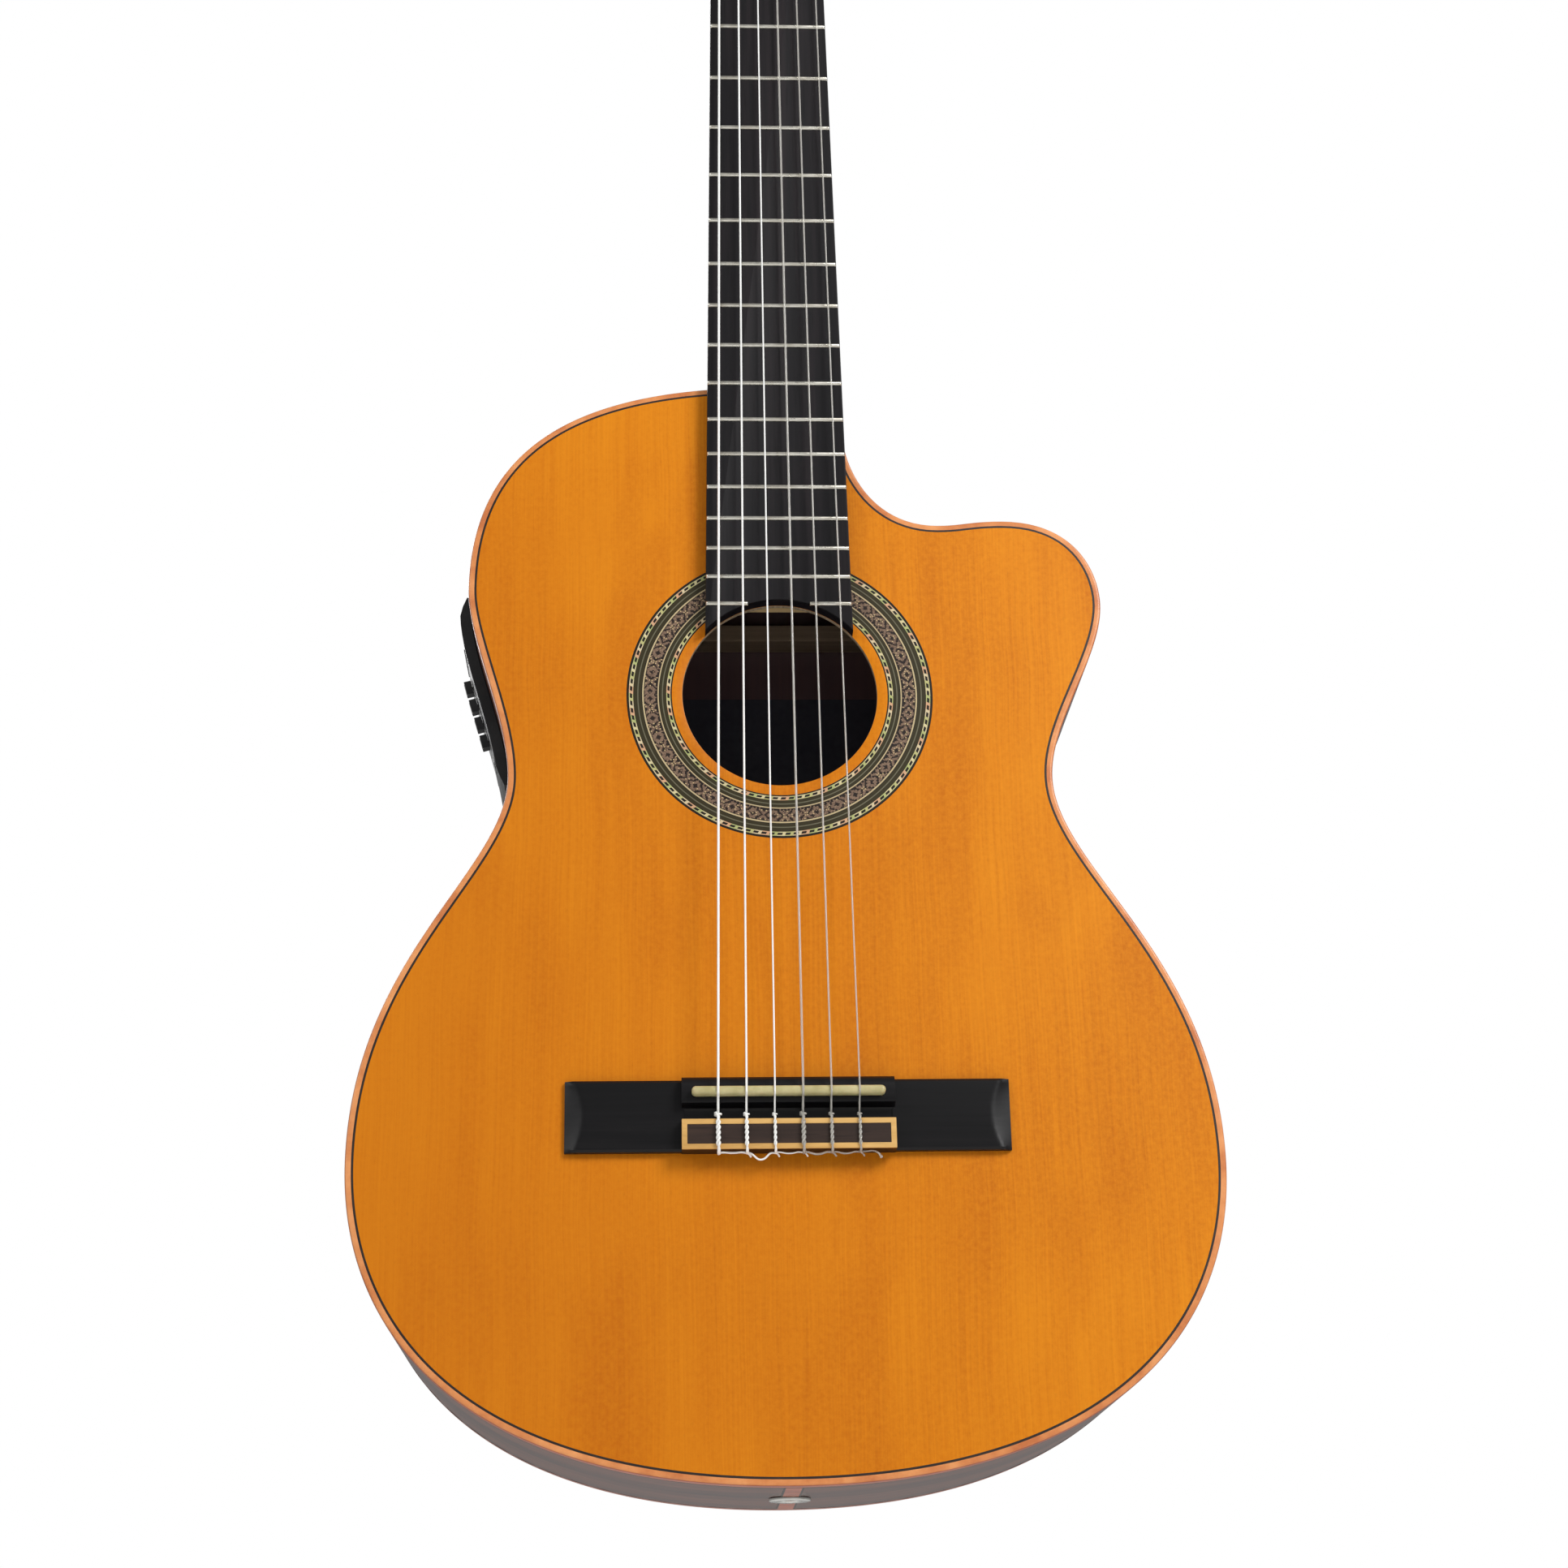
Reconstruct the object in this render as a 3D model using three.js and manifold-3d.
// A cutaway classical guitar with six nylon strings and a side-mounted preamp, in millimetres.
//
// Frame: +Z runs up the neck, +X is the treble side and -Y is the front. The origin is on the
// centre line at the nut, in the plane where the fingerboard is glued to the neck, midway between
// the two head shoulders that a wall hanger's arms carry. The soundboard's face is the plane y = 0.

import * as THREE from 'three';
import { mergeVertices } from 'three/addons/utils/BufferGeometryUtils.js';
import Module from 'manifold-3d';

const wasm = await Module();
wasm.setup();

// ---- Driving dimensions -------------------------------------------------------------------

const GAP = 0.3;               // between pieces that touch
const GLUE = 0.1;              // between flat faces that are glued together

const SCALE = 650;             // vibrating string length, nut to saddle
const FRETS = 19;
const BODY_TOP_Z = -323;       // where the body meets the neck, at the 12th fret
const BODY_TAIL_Z = -804;
const DEPTH_AT_NECK = 90;      // body depth, soundboard face to back face
const DEPTH_AT_TAIL = 97;

const UPPER_BOUT = { x: 134, z: -423 };
const WAIST = { x: 115.5, z: -511 };
const LOWER_BOUT = { x: 177.3, z: -675 };

const PLATE = 2.4;             // soundboard and back thickness
const RIB = 2.2;
const BINDING = { width: 2.6, height: 6 };
const PURFLING = 0.8;

const HOLE = { z: -472.8, r: 41.7 };
const ROSETTE = { inner: 46.3, outer: 65.6, depth: 1.2 };

const BOARD = { thick: 6.5, nutHalf: 25, twelfthHalf: 30, endHalf: 31.8, endR: 41.8 };
const FRET = { width: 2, height: 1 };
const NUT = { length: 5, top: -8.3 };
const STRING_SPAN = { nut: 43, saddle: 56.8 };
const SADDLE = { z: -650, half: 39, thick: 3.6, top: -12.6 };

const BRIDGE = { half: 90, block: 43, topZ: -643.4, tailZ: -673.4, wing: 4, height: 9 };

const HEAD = { tilt: 14, thick: 18, half: 32, length: 188, veneer: 2, pivotZ: 4 };
const SLOT = { inner: 9, outer: 22.6, low: 20, high: 142 };
const ROLLER = { first: 52, pitch: 35, r: 5, axisY: 9 };
const GEAR = { teeth: 14, r: 6.6, thick: 3 };
const WORM_R = 2.5;

const PREAMP = { topZ: -416, tailZ: -505, front: 24, back: 74, proud: 5.3 };
const SLIDER = { first: -448.8, pitch: 8.6, travel: 8, count: 4 };
const BATTERY = { thick: 17, wide: 26, long: 48, outerX: -131 };

// Every material is a plain one; the named colour is the piece's own.
const finish = (color, roughness, metalness = 0) =>
  new THREE.MeshStandardMaterial({ color, roughness, metalness });
const MATERIAL = {
  cedar: finish(0xc97a2b, 0.35),
  rosewood: finish(0x3d2118, 0.3),
  mahogany: finish(0x7a4628, 0.4),
  spruce: finish(0xd9b98a, 0.8),
  ebony: finish(0x1c1a1b, 0.5),
  binding: finish(0xd9935a, 0.4),
  purfling: finish(0x1e1712, 0.5),
  mosaic: finish(0x6f6550, 0.5),
  maple: finish(0xd2a865, 0.5),
  bone: finish(0xd6d0b8, 0.45),
  nylon: finish(0xb9a890, 0.25),
  wound: finish(0xd8d8d4, 0.3, 0.9),
  brass: finish(0xc8a050, 0.25, 1),
  pearl: finish(0xe8e4da, 0.3),
  sleeve: finish(0xe4dcc4, 0.4),
  plastic: finish(0x161616, 0.45),
  battery: finish(0x34383c, 0.4),
  nickel: finish(0xb8b8b8, 0.25, 1),
};

// ---- Helpers ------------------------------------------------------------------------------

const V2 = (x, y) => new THREE.Vector2(x, y);
const V3 = (x, y, z) => new THREE.Vector3(x, y, z);
const lerp = THREE.MathUtils.lerp;
const rad = THREE.MathUtils.degToRad;
const SIDES = { bass: -1, treble: 1 };

const fretZ = (n) => -SCALE * (1 - 2 ** (-n / 12));
const boardHalf = (z) => lerp(BOARD.nutHalf, BOARD.twelfthHalf, z / fretZ(12));
const depthAt = (z) =>
  lerp(DEPTH_AT_NECK, DEPTH_AT_TAIL, (z - BODY_TOP_Z) / (BODY_TAIL_Z - BODY_TOP_Z));
const fromBack = (inset) => (z) => depthAt(z) - inset;

// Moves every vertex of a geometry through a function of its position.
function reshape(geometry, move) {
  const p = geometry.getAttribute('position');
  for (let i = 0; i < p.count; i++) {
    const { x, y, z } = move(V3(p.getX(i), p.getY(i), p.getZ(i)));
    p.setXYZ(i, x, y, z);
  }
  return geometry;
}

const extrude = (shape, options) =>
  new THREE.ExtrudeGeometry(shape, { depth: 1, bevelEnabled: false, curveSegments: 24, ...options });

// An outline in (x, z) made into a solid from y = front to y = back, each a number or a function of z.
function prism(shape, front, back, options) {
  const at = (limit, z) => (typeof limit === 'function' ? limit(z) : limit);
  return reshape(extrude(shape, options), ({ x, y: z, z: t }) =>
    V3(x, lerp(at(back, z), at(front, z), t), z));
}

// A section in (y, z) made into a solid from x0 to x1.
const bar = (shape, x0, x1, options) =>
  reshape(extrude(shape, options), ({ x: y, y: z, z: t }) => V3(lerp(x0, x1, t), y, z));

// A box between two corners.
function block(low, high) {
  const size = high.clone().sub(low);
  const middle = low.clone().add(high).multiplyScalar(0.5);
  return new THREE.BoxGeometry(size.x, size.y, size.z).translate(middle.x, middle.y, middle.z);
}

// A cylinder along an axis ('x', 'y' or 'z'), from one coordinate on that axis to another.
function rod(axis, r, from, to, across = V3(0, 0, 0), sides = 24) {
  const g = new THREE.CylinderGeometry(r, r, to - from, sides);
  if (axis === 'x') g.rotateZ(-Math.PI / 2);
  if (axis === 'z') g.rotateX(Math.PI / 2);
  const place = across.clone();
  place[axis] = (from + to) / 2;
  return g.translate(place.x, place.y, place.z);
}

const polygon = (points) => new THREE.Shape(points);

// A closed geometry as a manifold-3d solid, and back.
function solid(geometry) {
  const bare = geometry.clone();
  for (const name of ['normal', 'uv', 'uv1']) bare.deleteAttribute(name);
  const merged = mergeVertices(bare, 1e-4);
  return new wasm.Manifold(new wasm.Mesh({
    numProp: 3,
    vertProperties: merged.attributes.position.array,
    triVerts: new Uint32Array(merged.index.array),
  }));
}

function geometryOf(made) {
  const mesh = made.getMesh();
  return new THREE.BufferGeometry()
    .setAttribute('position', new THREE.BufferAttribute(new Float32Array(mesh.vertProperties), 3))
    .setIndex(new THREE.BufferAttribute(new Uint32Array(mesh.triVerts), 1));
}

const join = (first, ...rest) =>
  geometryOf(rest.reduce((sum, g) => sum.add(solid(g)), solid(first)));
const cut = (first, ...rest) =>
  geometryOf(rest.reduce((sum, g) => sum.subtract(solid(g)), solid(first)));
const common = (first, second) => geometryOf(solid(first).intersect(solid(second)));

const guitar = new THREE.Group();

function add(name, geometry, material, parent = guitar) {
  const mesh = new THREE.Mesh(geometry, material);
  mesh.name = name;
  parent.add(mesh);
  return mesh;
}

// ---- Body outline -------------------------------------------------------------------------

// One side of the body in (x, z), as cubic curves between its bouts. Handles are how far each
// curve runs along its end's tangent.
function sideCurves(side) {
  const curve = (a, toA, toB, b) => new THREE.CubicBezierCurve(a, a.clone().add(toA), b.clone().add(toB), b);
  const waist = V2(side * WAIST.x, WAIST.z);
  const lower = V2(side * LOWER_BOUT.x, LOWER_BOUT.z);
  const tail = V2(0, BODY_TAIL_Z);
  const tailEnd = [
    curve(waist, V2(0, -41), V2(0, 86), lower),
    curve(lower, V2(0, -74), V2(side * 121, 0), tail),
  ];
  if (side < 0) {
    const heel = V2(0, BODY_TOP_Z);
    const upper = V2(-UPPER_BOUT.x, UPPER_BOUT.z);
    return [
      curve(heel, V2(-80, 0), V2(0, 75), upper),
      curve(upper, V2(0, -23), V2(0, 28), waist),
      ...tailEnd,
    ];
  }
  const corner = V2(27, BODY_TOP_Z);
  const neckSide = V2(30, -347);
  const trough = V2(70.6, -391.7);
  const crest = V2(99.4, -389.5);
  const horn = V2(140.9, -429);
  return [
    new THREE.LineCurve(V2(0, BODY_TOP_Z), corner),
    new THREE.LineCurve(corner, neckSide),
    curve(neckSide, V2(1, -18), V2(-28, 0), trough),
    curve(trough, V2(11, 0), V2(-14, 0), crest),
    curve(crest, V2(32, 0), V2(0, 16), horn),
    curve(horn, V2(0, -25), V2(0, 26), waist),
    ...tailEnd,
  ];
}

// Points down one side, from the heel to the tail, about one every `step` millimetres.
function sidePoints(side, step = 12) {
  const points = [];
  for (const c of sideCurves(side)) {
    const n = c.isLineCurve ? 1 : Math.max(3, Math.round(c.getLength() / step));
    points.push(...c.getSpacedPoints(n).slice(points.length ? 1 : 0));
  }
  return points;
}

// The whole outline, counter-clockwise: down the bass side and up the treble side.
function bodyPoints(step) {
  const bass = sidePoints(SIDES.bass, step);
  const treble = sidePoints(SIDES.treble, step).reverse();
  return [...bass, ...treble.slice(1, -1)];
}

// Moves a closed outline inwards by a distance, square to its edges.
function inset(points, distance) {
  const n = points.length;
  const normal = (a, b) => V2(-(b.y - a.y), b.x - a.x).normalize();
  return points.map((p, i) => {
    const before = normal(points[(i + n - 1) % n], p);
    const after = normal(p, points[(i + 1) % n]);
    const sum = before.clone().add(after);
    return p.clone().add(sum.multiplyScalar(distance / (1 + before.dot(after))));
  });
}

// A closed ring between two insets of the body outline.
function ringShape(outer, inner, step) {
  const shape = polygon(inset(bodyPoints(step), outer));
  shape.holes.push(polygon(inset(bodyPoints(step), inner)));
  return shape;
}

// A strip of the outline between two insets, from one point index to another.
function stripShape(points, outer, inner, from, to) {
  const out = inset(points, outer).slice(from, to + 1);
  const inn = inset(points, inner).slice(from, to + 1);
  return polygon([...out, ...inn.reverse()]);
}

const circle = (x, z, r) => new THREE.Path().absarc(x, z, r, 0, 2 * Math.PI);

// ---- Body ---------------------------------------------------------------------------------

function addPlates() {
  const edge = BINDING.width + PURFLING + 2 * GLUE;
  const top = polygon(inset(bodyPoints(), edge));
  top.holes.push(circle(0, HOLE.z, HOLE.r));
  const channel = new THREE.Shape().absarc(0, HOLE.z, ROSETTE.outer + GLUE, 0, 2 * Math.PI);
  channel.holes.push(circle(0, HOLE.z, ROSETTE.inner - GLUE));
  const ring = new THREE.Shape().absarc(0, HOLE.z, ROSETTE.outer, 0, 2 * Math.PI);
  ring.holes.push(circle(0, HOLE.z, ROSETTE.inner));
  add('soundboard', cut(prism(top, 0, PLATE), prism(channel, -1, ROSETTE.depth + GLUE)), MATERIAL.cedar);
  add('rosette', prism(ring, 0, ROSETTE.depth), MATERIAL.mosaic);

  const back = polygon(inset(bodyPoints(), BINDING.width + GLUE));
  add('back', prism(back, fromBack(PLATE), fromBack(0)), MATERIAL.rosewood);
}

function addEdges() {
  add('binding_top', prism(ringShape(0, BINDING.width), 0, BINDING.height), MATERIAL.binding);
  add('purfling_top',
    prism(ringShape(BINDING.width + GLUE, BINDING.width + GLUE + PURFLING), 0, PLATE), MATERIAL.purfling);
  add('binding_back',
    prism(ringShape(0, BINDING.width), fromBack(BINDING.height), fromBack(0)), MATERIAL.binding);
}

// The two bent sides meet on the centre line at the neck block and at the tail block.
function addRibs() {
  const points = bodyPoints();
  const tail = points.findIndex((p) => p.y === BODY_TAIL_Z);
  const front = BINDING.height + GLUE;
  const back = fromBack(BINDING.height + GLUE);
  const joint = (x0, x1) =>
    block(V3(x0, -1, BODY_TAIL_Z - 10), V3(x1, DEPTH_AT_TAIL + 1, BODY_TOP_Z + 10));
  const bass = prism(stripShape(points, 0, RIB, 0, tail), front, back);
  const treble = prism(stripShape([...points, points[0]], 0, RIB, tail, points.length), front, back);
  const pocket = preampPocket();
  const jackHole = rod('z', JACK.hole + GAP, BODY_TAIL_Z - 5, BODY_TAIL_Z + 5, V3(0, JACK.y, 0));
  add('rib_bass', cut(bass, joint(-GLUE / 2, 5), pocket, jackHole), MATERIAL.rosewood);
  add('rib_treble', cut(treble, joint(-5, GLUE / 2), jackHole), MATERIAL.rosewood);
}

const LINING = { width: 5.5, height: 14 };

// Solid linings: C-shaped strips that run from one side of the neck block round to the other.
function addLinings() {
  const inner = BINDING.width + GAP;
  const shape = () => ringShape(inner, inner + LINING.width);
  const away = (front, back) =>
    block(V3(-NECK_BLOCK.bass - GAP, front, NECK_BLOCK.z - GAP), V3(45, back, BODY_TOP_Z + 5));
  const low = PLATE + GAP;
  const top = prism(shape(), low, low + LINING.height);
  const back = prism(shape(), fromBack(low + LINING.height), fromBack(low));
  add('lining_top', cut(top, away(-1, 60)), MATERIAL.mahogany);
  add('lining_back', cut(back, away(30, 120)), MATERIAL.mahogany);
}

const NECK_BLOCK = { bass: 32, z: -368, foot: 16, footZ: -392 };
const TAIL_BLOCK = { half: 36, thick: 16 };

function addBlocks() {
  const within = prism(polygon(inset(bodyPoints(), BINDING.width + GAP)), PLATE + GAP, fromBack(PLATE + GAP));
  const head = join(
    block(V3(-NECK_BLOCK.bass, 0, NECK_BLOCK.z), V3(40, 120, BODY_TOP_Z + 5)),
    block(V3(-NECK_BLOCK.bass, DEPTH_AT_NECK - NECK_BLOCK.foot, NECK_BLOCK.footZ),
      V3(18, 120, NECK_BLOCK.z + 1)));
  add('neck_block', common(within, head), MATERIAL.mahogany);

  const clear = PLATE + 2 * GAP + LINING.height;
  const tail = block(V3(-TAIL_BLOCK.half, clear, BODY_TAIL_Z - 5),
    V3(TAIL_BLOCK.half, DEPTH_AT_TAIL - clear, BODY_TAIL_Z + TAIL_BLOCK.thick));
  const jackHole = rod('z', JACK.hole + GAP, BODY_TAIL_Z - 10, BODY_TAIL_Z + 30, V3(0, JACK.y, 0));
  add('tail_block', cut(common(within, tail), jackHole), MATERIAL.mahogany);
}

// A brace across or along a plate: full height in the middle, thinned to its ends.
function brace(length, height, width) {
  const end = height * 0.35;
  const h = length / 2;
  const taper = Math.min(38, length / 4);
  const side = polygon([V2(-h, 0), V2(h, 0), V2(h, end), V2(h - taper, height), V2(taper - h, height), V2(-h, end)]);
  return extrude(side, { depth: width }).translate(0, 0, -width / 2);
}

const TRANSVERSE = { height: 14.5, width: 7 };
const FAN = { height: 5, width: 5.5, angle: 7.5, count: 5, spread: 38, topZ: -540, length: 228 };
const BACK_BRACE_Z = [-409.5, -540, -680];

function addBraces() {
  const under = PLATE + GAP;
  const across = { upper: [-422.8, 236], lower: [-524, 216] };
  for (const [name, [z, length]] of Object.entries(across)) {
    const x = name === 'upper' ? 2 : 0;
    const mesh = add(`${name}_transverse_bar`, brace(length, TRANSVERSE.height, TRANSVERSE.width), MATERIAL.spruce);
    mesh.position.set(x, under, z);
  }

  const patch = block(V3(-92, under, -676), V3(92, under + 2, -641));
  add('bridge_plate', patch, MATERIAL.spruce);
  const notch = block(V3(-200, 0, -676 - GAP), V3(200, under + 2 + GAP, -641 + GAP));
  for (let i = 0; i < FAN.count; i++) {
    const k = i - (FAN.count - 1) / 2;
    const strut = brace(FAN.length - 14 * Math.abs(k), FAN.height, FAN.width).rotateY(Math.PI / 2);
    strut.rotateY(rad(-FAN.angle * k));
    strut.translate(k * FAN.spread, under, FAN.topZ - FAN.length / 2);
    add(`fan_brace_${i + 1}`, cut(strut, notch), MATERIAL.spruce);
  }

  const slope = Math.atan((DEPTH_AT_TAIL - DEPTH_AT_NECK) / (BODY_TOP_Z - BODY_TAIL_Z));
  const lengths = [222, 212, 332];
  BACK_BRACE_Z.forEach((z, i) => {
    const mesh = add(`back_brace_${i + 1}`, brace(lengths[i], 14, 8), MATERIAL.spruce);
    mesh.position.set(i ? 0 : 3, fromBack(under + 0.2)(z), z);
    mesh.rotation.x = Math.PI + slope;
  });
}

// ---- Neck and head ------------------------------------------------------------------------

// Half of an ellipse: flat on the front, round at the back, one unit wide each way.
function halfRound(n = 14) {
  const arc = Array.from({ length: n + 1 }, (_, i) => (Math.PI * i) / n);
  return polygon(arc.map((a) => V2(Math.cos(a), Math.sin(a) ** 0.85)));
}

function headGroup() {
  const group = new THREE.Group();
  group.position.z = HEAD.pivotZ;
  group.rotation.x = -rad(HEAD.tilt);
  return group;
}

// The head's outline in (x, z): straight cheeks for the machine plates, a plain arched crest.
function headShape(margin = 0) {
  const half = HEAD.half - margin;
  const top = HEAD.length - margin;
  const flare = half + 4;
  const s = new THREE.Shape();
  s.moveTo(-half, margin);
  s.lineTo(half, margin);
  s.lineTo(half, 152);
  s.quadraticCurveTo(half, 164, flare, 172);
  s.quadraticCurveTo(flare - 8, 184, 20, top - 7);
  s.quadraticCurveTo(10, top, 0, top);
  s.quadraticCurveTo(-10, top, -20, top - 7);
  s.quadraticCurveTo(8 - flare, 184, -flare, 172);
  s.quadraticCurveTo(-half, 164, -half, 152);
  s.closePath();
  for (const side of [-1, 1]) {
    const [a, b] = side < 0 ? [-SLOT.outer, -SLOT.inner] : [SLOT.inner, SLOT.outer];
    const r = (b - a) / 2 - margin;
    const x = (a + b) / 2;
    const slot = new THREE.Path();
    slot.moveTo(x + r, SLOT.low + 6.8);
    slot.lineTo(x + r, SLOT.high - 6.8);
    slot.absarc(x, SLOT.high - 6.8, r, 0, Math.PI);
    slot.lineTo(x - r, SLOT.low + 6.8);
    slot.absarc(x, SLOT.low + 6.8, r, Math.PI, 2 * Math.PI);
    s.holes.push(slot);
  }
  return s;
}

const rollerZ = (place) => ROLLER.first + ROLLER.pitch * place;

// A geometry drawn in the head's frame, moved to the guitar's.
function inHead(geometry) {
  const group = headGroup();
  group.updateMatrix();
  return geometry.applyMatrix4(group.matrix);
}

const HEEL = { half: 27, capHalf: 13, capLength: 18, thick: 84 };

function addNeck() {
  const top = GLUE;
  const thickness = (z) => lerp(15.2, 18, z / fretZ(10));
  const shaft = reshape(extrude(halfRound(), { steps: 6 }), ({ x, y, z: t }) => {
    const z = lerp(BODY_TOP_Z + GAP, HEAD.pivotZ + 0.5, t);
    return V3(x * boardHalf(z), top + y * thickness(z), z);
  });

  // The heel narrows and shortens as it goes back, along a cove.
  const heel = reshape(extrude(halfRound(), { steps: 9 }), ({ x, y: u, z: t }) => {
    const deep = lerp(HEEL.thick, 2, t);
    const share = 1 - deep / HEEL.thick;
    const length = HEEL.capLength + 52 * share ** 3.2;
    return V3(x * lerp(HEEL.capHalf, HEEL.half, share ** 0.8), deep, BODY_TOP_Z + GAP + u * length);
  });

  const head = inHead(prism(headShape(), 0, HEAD.thick, { curveSegments: 6 }));
  const bores = [];
  for (const side of [-1, 1]) {
    for (let place = 0; place < 3; place++) {
      const ends = [side * 2.6, side * (HEAD.half + 1)].sort((a, b) => a - b);
      bores.push(inHead(rod('x', ROLLER.r + GAP, ...ends, V3(0, ROLLER.axisY, rollerZ(place)), 16)));
    }
  }
  const clearFront = block(V3(-60, -5, -340), V3(60, top, HEAD.pivotZ - 1));
  add('neck', cut(join(shaft, heel, head), ...bores, clearFront), MATERIAL.mahogany);

  const cap = reshape(extrude(halfRound()), ({ x, y: u, z: t }) =>
    V3(x * HEEL.capHalf, lerp(HEEL.thick + GAP + 3, HEEL.thick + GAP, t), BODY_TOP_Z + GAP + u * HEEL.capLength));
  add('heel_cap', cap, MATERIAL.ebony);

  const head2 = headGroup();
  guitar.add(head2);
  const clear = block(V3(-50, -30, -20), V3(50, 5, 3));
  add('head_veneer', cut(prism(headShape(0.05), -HEAD.veneer, -GLUE, { curveSegments: 6 }), clear),
    MATERIAL.rosewood, head2);
}

function addFingerboard() {
  const s = new THREE.Shape();
  const reach = Math.asin(BOARD.endHalf / BOARD.endR);
  s.moveTo(BOARD.nutHalf, -GLUE);
  s.lineTo(-BOARD.nutHalf, -GLUE);
  s.absarc(0, HOLE.z, BOARD.endR, Math.PI / 2 + reach, Math.PI / 2 - reach, true);
  s.closePath();
  const board = prism(s, -BOARD.thick, -GLUE, { curveSegments: 12 });
  const frets = [];
  for (let n = 1; n <= FRETS; n++) {
    const z = fretZ(n);
    const half = boardHalf(z) - 0.2;
    const w = FRET.width / 2;
    const crown = -BOARD.thick - FRET.height;
    const section = polygon([V2(-BOARD.thick + 0.5, z - w), V2(-BOARD.thick + 0.5, z + w),
      V2(-BOARD.thick, z + w), V2(crown, z + w * 0.4), V2(crown, z - w * 0.4), V2(-BOARD.thick, z - w)]);
    frets.push(bar(section, -half, half));
  }
  // The last fret is split where the board's end curves round the sound hole.
  const hole = rod('y', BOARD.endR - 0.01, -20, 5, V3(0, 0, HOLE.z), 72);
  add('fingerboard', cut(join(board, ...frets), hole), MATERIAL.ebony);

  const nut = polygon([V2(-GLUE, 0), V2(NUT.top, 0), V2(NUT.top + 0.6, NUT.length), V2(-GLUE, NUT.length)]);
  add('nut', bar(nut, -BOARD.nutHalf, BOARD.nutHalf), MATERIAL.bone);
}

// ---- Bridge -------------------------------------------------------------------------------

function addBridge() {
  const { topZ, tailZ, height } = BRIDGE;
  const under = -GLUE;
  const middle = polygon([
    V2(under, tailZ), V2(-height, tailZ), V2(-height, -661), V2(-3.5, -660), V2(-3.5, -656),
    V2(-height + 0.6, -654), V2(-height + 0.6, -646.5), V2(-height + 2.4, topZ + 0.7), V2(under, topZ + 0.7)]);
  const wing = polygon([
    V2(under, tailZ + 0.3), V2(-2.2, tailZ + 0.3), V2(-BRIDGE.wing, -667), V2(-BRIDGE.wing, -650),
    V2(-2.4, topZ - 0.3), V2(under, topZ - 0.3)]);
  const wings = bar(wing, -BRIDGE.half, BRIDGE.half);
  const bevels = [-1, 1].map((side) => {
    const g = block(V3(-9, -6, tailZ - 5), V3(9, 0, topZ + 5)).rotateZ(side * rad(20));
    return g.translate(side * (BRIDGE.half + 1.8), -2.6, 0);
  });
  const slot = block(V3(-SADDLE.half - GAP, -20, SADDLE.z - SADDLE.thick / 2 - GAP),
    V3(SADDLE.half + GAP, -2.5, SADDLE.z + SADDLE.thick / 2 + GAP));
  const body = join(cut(wings, ...bevels), bar(middle, -BRIDGE.block, BRIDGE.block));
  const recess = block(V3(-BRIDGE.block - 1, -height - 1, tailZ - 1), V3(BRIDGE.block + 1, -height + 1, -660.5));
  add('bridge', cut(body, slot, recess), MATERIAL.ebony);

  // A light border round the top of the tie block.
  const [low, high] = [tailZ, -661];
  const frame = polygon([V2(-BRIDGE.block, low), V2(BRIDGE.block, low), V2(BRIDGE.block, high), V2(-BRIDGE.block, high)]);
  const w = 2.2;
  frame.holes.push(new THREE.Path([V2(w - BRIDGE.block, low + w), V2(w - BRIDGE.block, high - w),
    V2(BRIDGE.block - w, high - w), V2(BRIDGE.block - w, low + w)]));
  add('tie_block_border', prism(frame, -height, -height + 1 - GLUE), MATERIAL.maple);

  const half = SADDLE.thick / 2;
  const profile = polygon([V2(-3.6, SADDLE.z - half), V2(SADDLE.top + 0.8, SADDLE.z - half),
    V2(SADDLE.top, SADDLE.z - 0.5), V2(SADDLE.top, SADDLE.z + 0.5),
    V2(SADDLE.top + 0.8, SADDLE.z + half), V2(-3.6, SADDLE.z + half)]);
  add('saddle', bar(profile, -SADDLE.half, SADDLE.half), MATERIAL.bone);
  add('saddle_pickup',
    block(V3(-SADDLE.half, -3.3, SADDLE.z - 1.4), V3(SADDLE.half, -2.6, SADDLE.z + 1.4)), MATERIAL.nickel);
}

// ---- Strings ------------------------------------------------------------------------------

// A route of straight stretches that an extrusion follows point by point.
class Route extends THREE.Curve {
  constructor(points) {
    super();
    this.points = points;
  }
  getPoint(t) {
    const at = t * (this.points.length - 1);
    const i = Math.min(Math.floor(at + 1e-9), this.points.length - 2);
    return this.points[i].clone().lerp(this.points[i + 1], at - i);
  }
  getPointAt(t) {
    return this.getPoint(t);
  }
  getTangentAt(t) {
    const i = Math.round(t * (this.points.length - 1));
    const way = (a, b) => this.points[b].clone().sub(this.points[a]).normalize();
    const before = way(Math.max(i - 1, 0), Math.max(i, 1));
    const after = way(Math.min(i, this.points.length - 2), Math.min(i + 1, this.points.length - 1));
    return before.add(after).normalize();
  }
}

function tube(points, r, sides = 8) {
  const corners = Array.from({ length: sides }, (_, i) => (2 * Math.PI * i) / sides);
  const section = polygon(corners.map((a) => V2(r * Math.cos(a), r * Math.sin(a))));
  return extrude(section, { steps: points.length - 1, extrudePath: new Route(points) });
}

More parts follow.
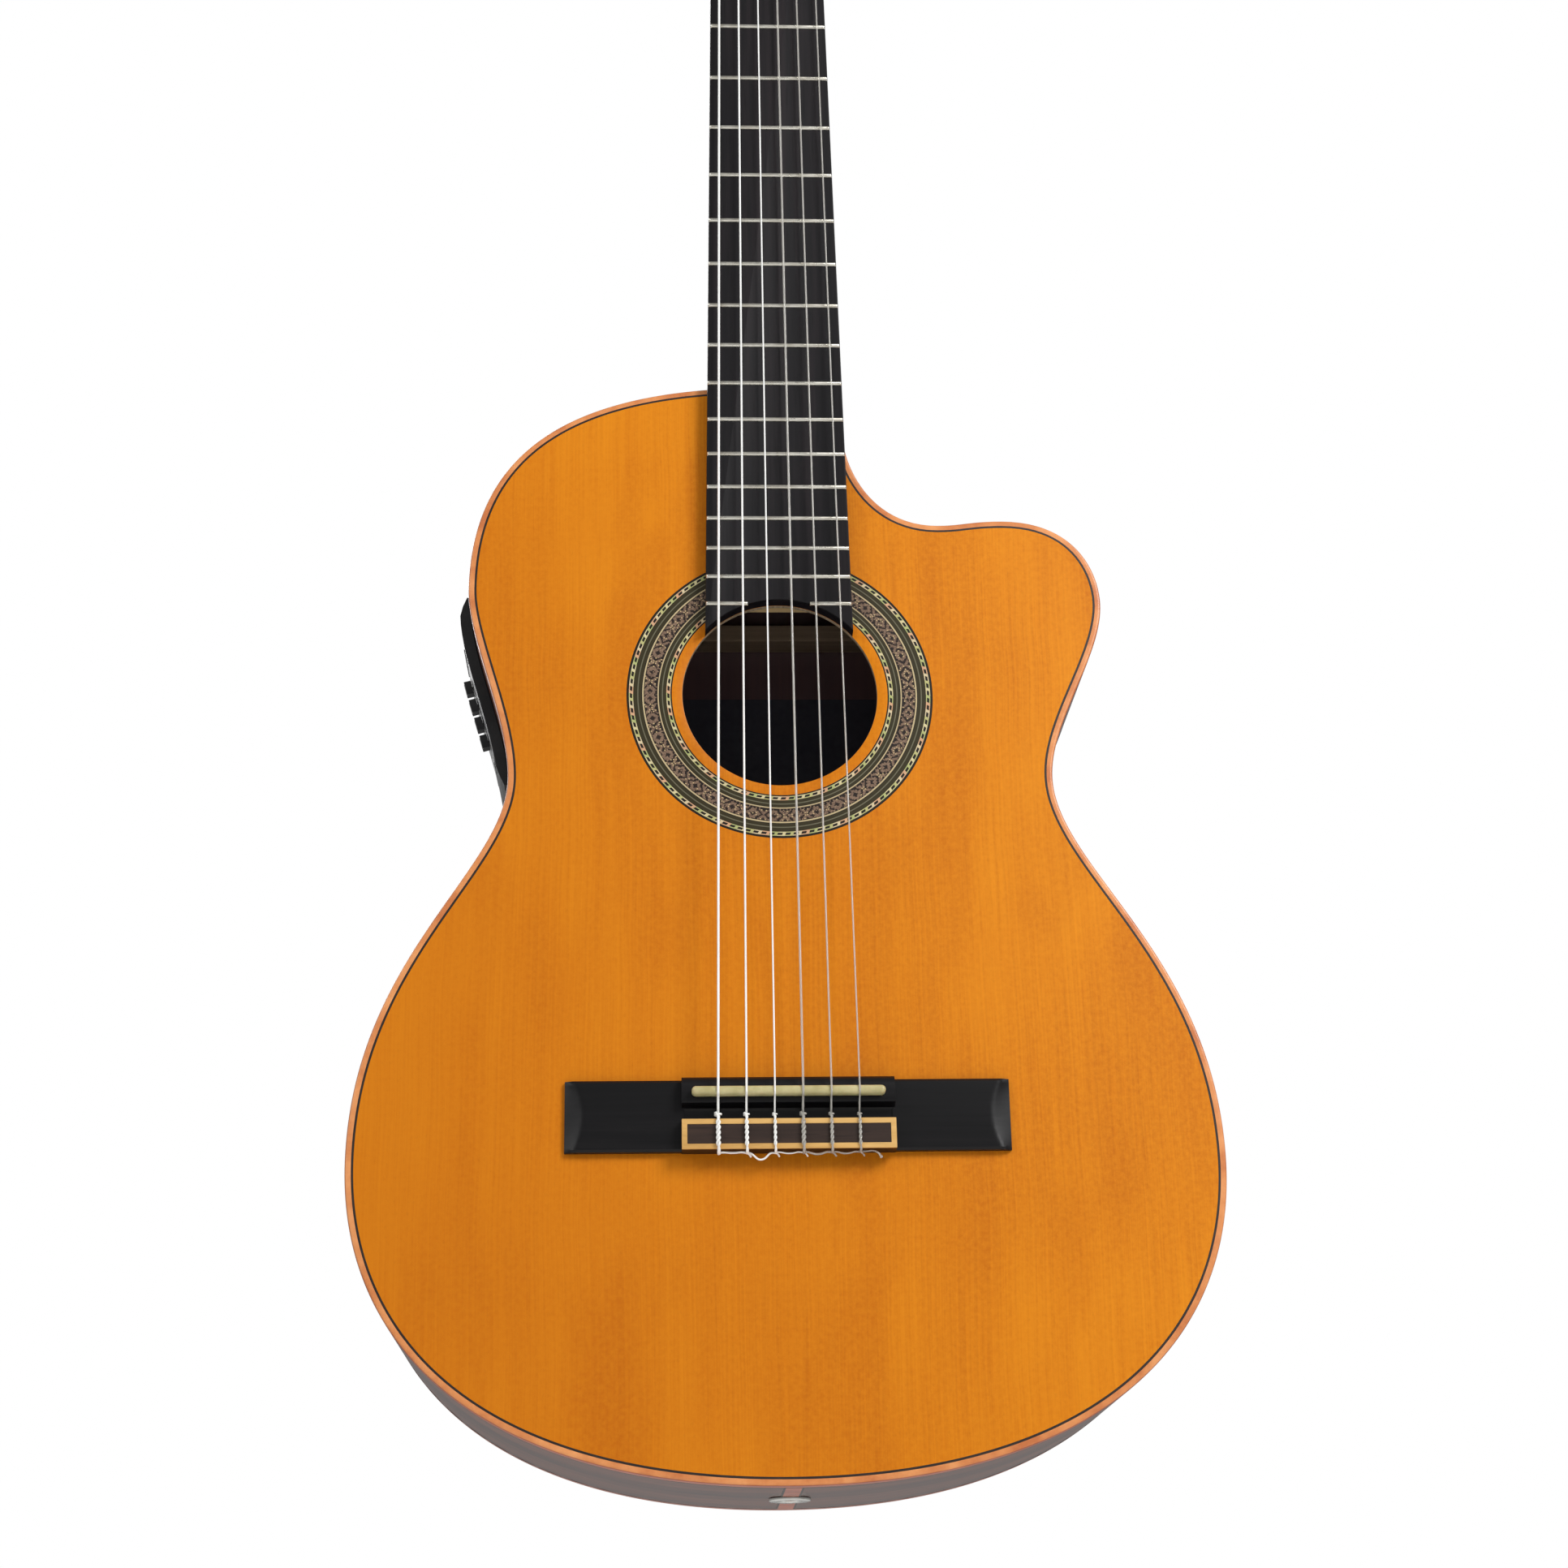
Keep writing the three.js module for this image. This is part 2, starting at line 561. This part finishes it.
// From the bass side: name, radius, material, roller's place up the head, where it meets the roller.
const STRINGS = [
  { name: 'string_6_e', r: 0.54, material: 'wound', place: 0, rollerX: -17.5 },
  { name: 'string_5_a', r: 0.45, material: 'wound', place: 1, rollerX: -16 },
  { name: 'string_4_d', r: 0.37, material: 'wound', place: 2, rollerX: -15.2 },
  { name: 'string_3_g', r: 0.5, material: 'nylon', place: 2, rollerX: 15.2 },
  { name: 'string_2_b', r: 0.41, material: 'nylon', place: 1, rollerX: 16 },
  { name: 'string_1_e', r: 0.36, material: 'nylon', place: 0, rollerX: 17.5 },
];

function stringPoints(i) {
  const { r, place, rollerX } = STRINGS[i];
  const share = i / (STRINGS.length - 1) - 0.5;
  const saddleX = share * STRING_SPAN.saddle;
  const nutX = share * STRING_SPAN.nut;
  const lift = r + 0.25;
  const tieTop = -BRIDGE.height - lift;
  const overNut = V3(nutX, NUT.top - lift, 0.3);
  const offNut = V3(nutX, NUT.top + 0.5 - lift, NUT.length + 0.2);
  const wound = r + 1.2 + GAP;   // room for the turns of string on the roller
  const tangent = V3(rollerX, ROLLER.axisY - ROLLER.r - wound, rollerZ(place) - 2.5);
  const end = inHead(new THREE.BufferGeometry().setFromPoints([tangent]));
  return [
    V3(saddleX, -4, BRIDGE.tailZ - lift - 0.3),
    V3(saddleX, -BRIDGE.height, BRIDGE.tailZ - lift),
    V3(saddleX, tieTop, BRIDGE.tailZ - 0.4),
    V3(saddleX, tieTop, -661.4),
    V3(saddleX, tieTop + 0.9, -659.4),
    V3(saddleX, SADDLE.top - lift, SADDLE.z - 0.8),
    V3(saddleX, SADDLE.top - lift, SADDLE.z + 0.6),
    overNut,
    offNut,
    V3().fromBufferAttribute(end.getAttribute('position'), 0),
  ];
}

function addStrings() {
  STRINGS.forEach(({ name, r, material }, i) => add(name, tube(stringPoints(i), r), MATERIAL[material]));
}

// ---- Tuning machines ----------------------------------------------------------------------

const MACHINE = { plate: 1.2, width: 13.5, lug: 1.5, lugReach: 7.2 };
const WORM_DROP = GEAR.r + WORM_R + GAP;   // from the roller's axis down to the worm's axis
const WORM_X = MACHINE.plate + GAP + WORM_R;
const LUG_Y = [1.2, 15.3];

// All the machines of one side, in the head's frame with x counted outwards from its cheek.
function addMachines(sideName) {
  const side = SIDES[sideName];
  const head = headGroup();
  guitar.add(head);
  const outwards = (geometry) => {
    const g = geometry.translate(HEAD.half + GAP, 0, 0);
    return side > 0 ? g : g.rotateZ(Math.PI).translate(0, 2 * ROLLER.axisY, 0);
  };
  // Turning the bass side half a turn about the length also turns the lugs and worms back to front,
  // so the bass side is drawn mirrored in y first.
  const y = (value) => (side > 0 ? value : 2 * ROLLER.axisY - value);
  const span = (a, b) => [y(a), y(b)].sort((p, q) => p - q);

  const plate = [block(V3(0, ROLLER.axisY - MACHINE.width / 2, rollerZ(0) - 22),
    V3(MACHINE.plate, ROLLER.axisY + MACHINE.width / 2, rollerZ(2) + 13))];
  const holes = [];
  for (let place = 0; place < 3; place++) {
    const z = rollerZ(place);
    const wormZ = z - WORM_DROP;
    for (const at of LUG_Y) {
      const [low, high] = span(at, at + MACHINE.lug);
      plate.push(block(V3(0.2, low, wormZ - 3.4), V3(MACHINE.lugReach, high, wormZ + 3.4)));
    }
    holes.push(rod('x', 2.4, -2, 5, V3(0, ROLLER.axisY, z), 12));
    holes.push(rod('y', 1.5 + GAP, -20, 40, V3(WORM_X, 0, wormZ), 12));
    const name = `${sideName}_${place + 1}`;
    add(`tuner_roller_${name}`, outwards(rollerGeometry(z)), MATERIAL.brass, head);
    add(`tuner_button_${name}`, outwards(buttonGeometry(WORM_X, wormZ, span)), MATERIAL.pearl, head);
  }
  add(`tuner_plate_${sideName}`, outwards(cut(join(...plate), ...holes)), MATERIAL.brass, head);
}

// A roller: a sleeve across the slot and into the head's middle, a neck through the plate, a gear.
function rollerGeometry(z) {
  const place = V3(0, ROLLER.axisY, z);
  const gear = new THREE.Shape();
  const steps = GEAR.teeth * 4;
  for (let i = 0; i < steps; i++) {
    const r = i % 4 < 2 ? GEAR.r : GEAR.r - 1.3;
    const a = (2 * Math.PI * (i + 0.5)) / steps;
    gear[i ? 'lineTo' : 'moveTo'](ROLLER.axisY + r * Math.cos(a), z + r * Math.sin(a));
  }
  const face = WORM_X - GEAR.thick / 2;
  return join(
    bar(gear, face, face + GEAR.thick),
    rod('x', 2, -3, face + 1, place, 16),
    rod('x', ROLLER.r, 3.2 - HEAD.half, -1, place, 20));
}

// A worm on its shaft, with the button that turns it behind the head.
function buttonGeometry(x, z, span) {
  const place = V3(x, 0, z);
  const button = new THREE.SphereGeometry(1, 12, 8).scale(7.8, 8, 4.6);
  const [low, high] = span(22, 38);
  return join(
    rod('y', 1.5, ...span(0.4, 24), place, 12),
    rod('y', WORM_R, ...span(LUG_Y[0] + MACHINE.lug + GAP, LUG_Y[1] - GAP), place, 16),
    button.translate(x, (low + high) / 2, z));
}

// ---- Preamp and output jack ---------------------------------------------------------------

const JACK = { y: 47, hole: 6, flange: 8.5, proud: 0.9, barrel: 34 };

// The outline's point and outward tilt at a height on the bass side, down the waist.
function bassEdge(z) {
  const points = sidePoints(SIDES.bass, 3);
  const i = points.findIndex((p) => p.x < -80 && p.y < z);
  const [a, b] = [points[i - 1], points[i]];
  const x = lerp(a.x, b.x, (z - a.y) / (b.y - a.y));
  return { x, tilt: Math.atan2(a.x - b.x, a.y - b.y) };
}

// A strip that follows the rib outside, between two heights, from `inner` to `outer` proud of it.
function outsideStrip(topZ, tailZ, inner, outer, n) {
  const heights = Array.from({ length: n + 1 }, (_, i) => lerp(topZ, tailZ, i / n));
  const along = (proud) => heights.map((z) => {
    const t = (z - topZ) / (tailZ - topZ);
    return V2(bassEdge(z).x - (typeof proud === 'function' ? proud(t) : proud), z);
  });
  return polygon([...along(outer), ...along(inner).reverse()]);
}

const BOX = { topZ: -419, tailZ: -500, front: 27, back: 71, innerX: -96 };
const BAY = { topZ: -423, tailZ: -441, half: 13.5, wall: 1.8 };
const DOOR = { topZ: -421, tailZ: -443, front: 31, back: 67, thick: 2 };

function preampPocket() {
  return block(V3(-160, BOX.front - 0.6, BOX.tailZ - 0.6), V3(-90, BOX.back + 0.6, BOX.topZ + 0.6));
}

// Moves a geometry drawn about a slider's own origin, with the rib's outward side at -x, to its place.
function atSlider(i, geometry) {
  const z = SLIDER.first - SLIDER.pitch * i;
  const { x, tilt } = bassEdge(z);
  const y = (PREAMP.front + PREAMP.back) / 2;
  return geometry.rotateY(tilt).translate(x - PREAMP.proud - GAP, y, z);
}

function addPreamp() {
  const ends = (t) => PREAMP.proud * Math.min(1, (Math.min(t, 1 - t) * 8 + 0.25) ** 0.5);
  const bezel = prism(outsideStrip(PREAMP.topZ, PREAMP.tailZ, 0.4, ends, 20), PREAMP.front, PREAMP.back);
  const box = prism(polygon([V2(BOX.innerX, BOX.topZ), V2(-136.5, BOX.topZ), V2(-120, BOX.tailZ),
    V2(BOX.innerX, BOX.tailZ)]), BOX.front, BOX.back);
  const recess = prism(outsideStrip(DOOR.topZ + GAP, DOOR.tailZ - GAP, PREAMP.proud - DOOR.thick - GAP, 9, 8),
    DOOR.front - GAP, DOOR.back + GAP);
  const middle = (PREAMP.front + PREAMP.back) / 2;
  const bayInnerX = BATTERY.outerX + BATTERY.long + GAP;
  const bay = (wall, inner, outer) => block(
    V3(outer, middle - BAY.half - wall, BAY.tailZ - wall), V3(inner, middle + BAY.half + wall, BAY.topZ + wall));
  const slots = [];
  for (let i = 0; i < SLIDER.count; i++) {
    const reach = SLIDER.travel + 2;
    slots.push(atSlider(i, block(V3(-6, -reach, -1), V3(6, reach, 1))));
  }
  const body = join(bezel, box, bay(BAY.wall, bayInnerX + BAY.wall, -130));
  add('preamp_housing', cut(body, recess, bay(0, bayInnerX, -150), ...slots), MATERIAL.plastic);

  add('battery_door',
    prism(outsideStrip(DOOR.topZ, DOOR.tailZ, PREAMP.proud - DOOR.thick, PREAMP.proud, 8), DOOR.front, DOOR.back),
    MATERIAL.plastic);
  const low = V3(BATTERY.outerX, middle - BATTERY.wide / 2, BAY.tailZ + 0.5);
  add('battery', block(low, low.clone().add(V3(BATTERY.long, BATTERY.wide, BATTERY.thick))), MATERIAL.battery);

  for (let i = 0; i < SLIDER.count; i++) {
    const knob = join(block(V3(-3.4, -2.4, -3.1), V3(0, 2.4, 3.1)), block(V3(-0.5, -1, -0.6), V3(4.5, 1, 0.6)));
    add(`slider_${i + 1}`, atSlider(i, knob), MATERIAL.plastic);
  }
}

// The output socket in the tail, with a thin flange that lies on the ribs.
function addJack() {
  const { flange, proud, hole, barrel } = JACK;
  const bore = 3.3;
  const outer = [V2(bore, barrel), V2(bore, -GAP - proud), V2(flange - 0.4, -GAP - proud),
    V2(flange, -GAP - proud + 0.4), V2(flange, -GAP), V2(hole, -GAP), V2(hole, barrel)];
  const jack = new THREE.LatheGeometry([...outer, outer[0]], 24).rotateX(Math.PI / 2);
  const mesh = add('output_jack', jack, MATERIAL.nickel);
  mesh.position.set(0, JACK.y, BODY_TAIL_Z);
}

// ---- Assembly -----------------------------------------------------------------------------

addPlates();
addEdges();
addRibs();
addLinings();
addBlocks();
addBraces();
addNeck();
addFingerboard();
addBridge();
addStrings();
for (const sideName of Object.keys(SIDES)) addMachines(sideName);
addPreamp();
addJack();

export default guitar;
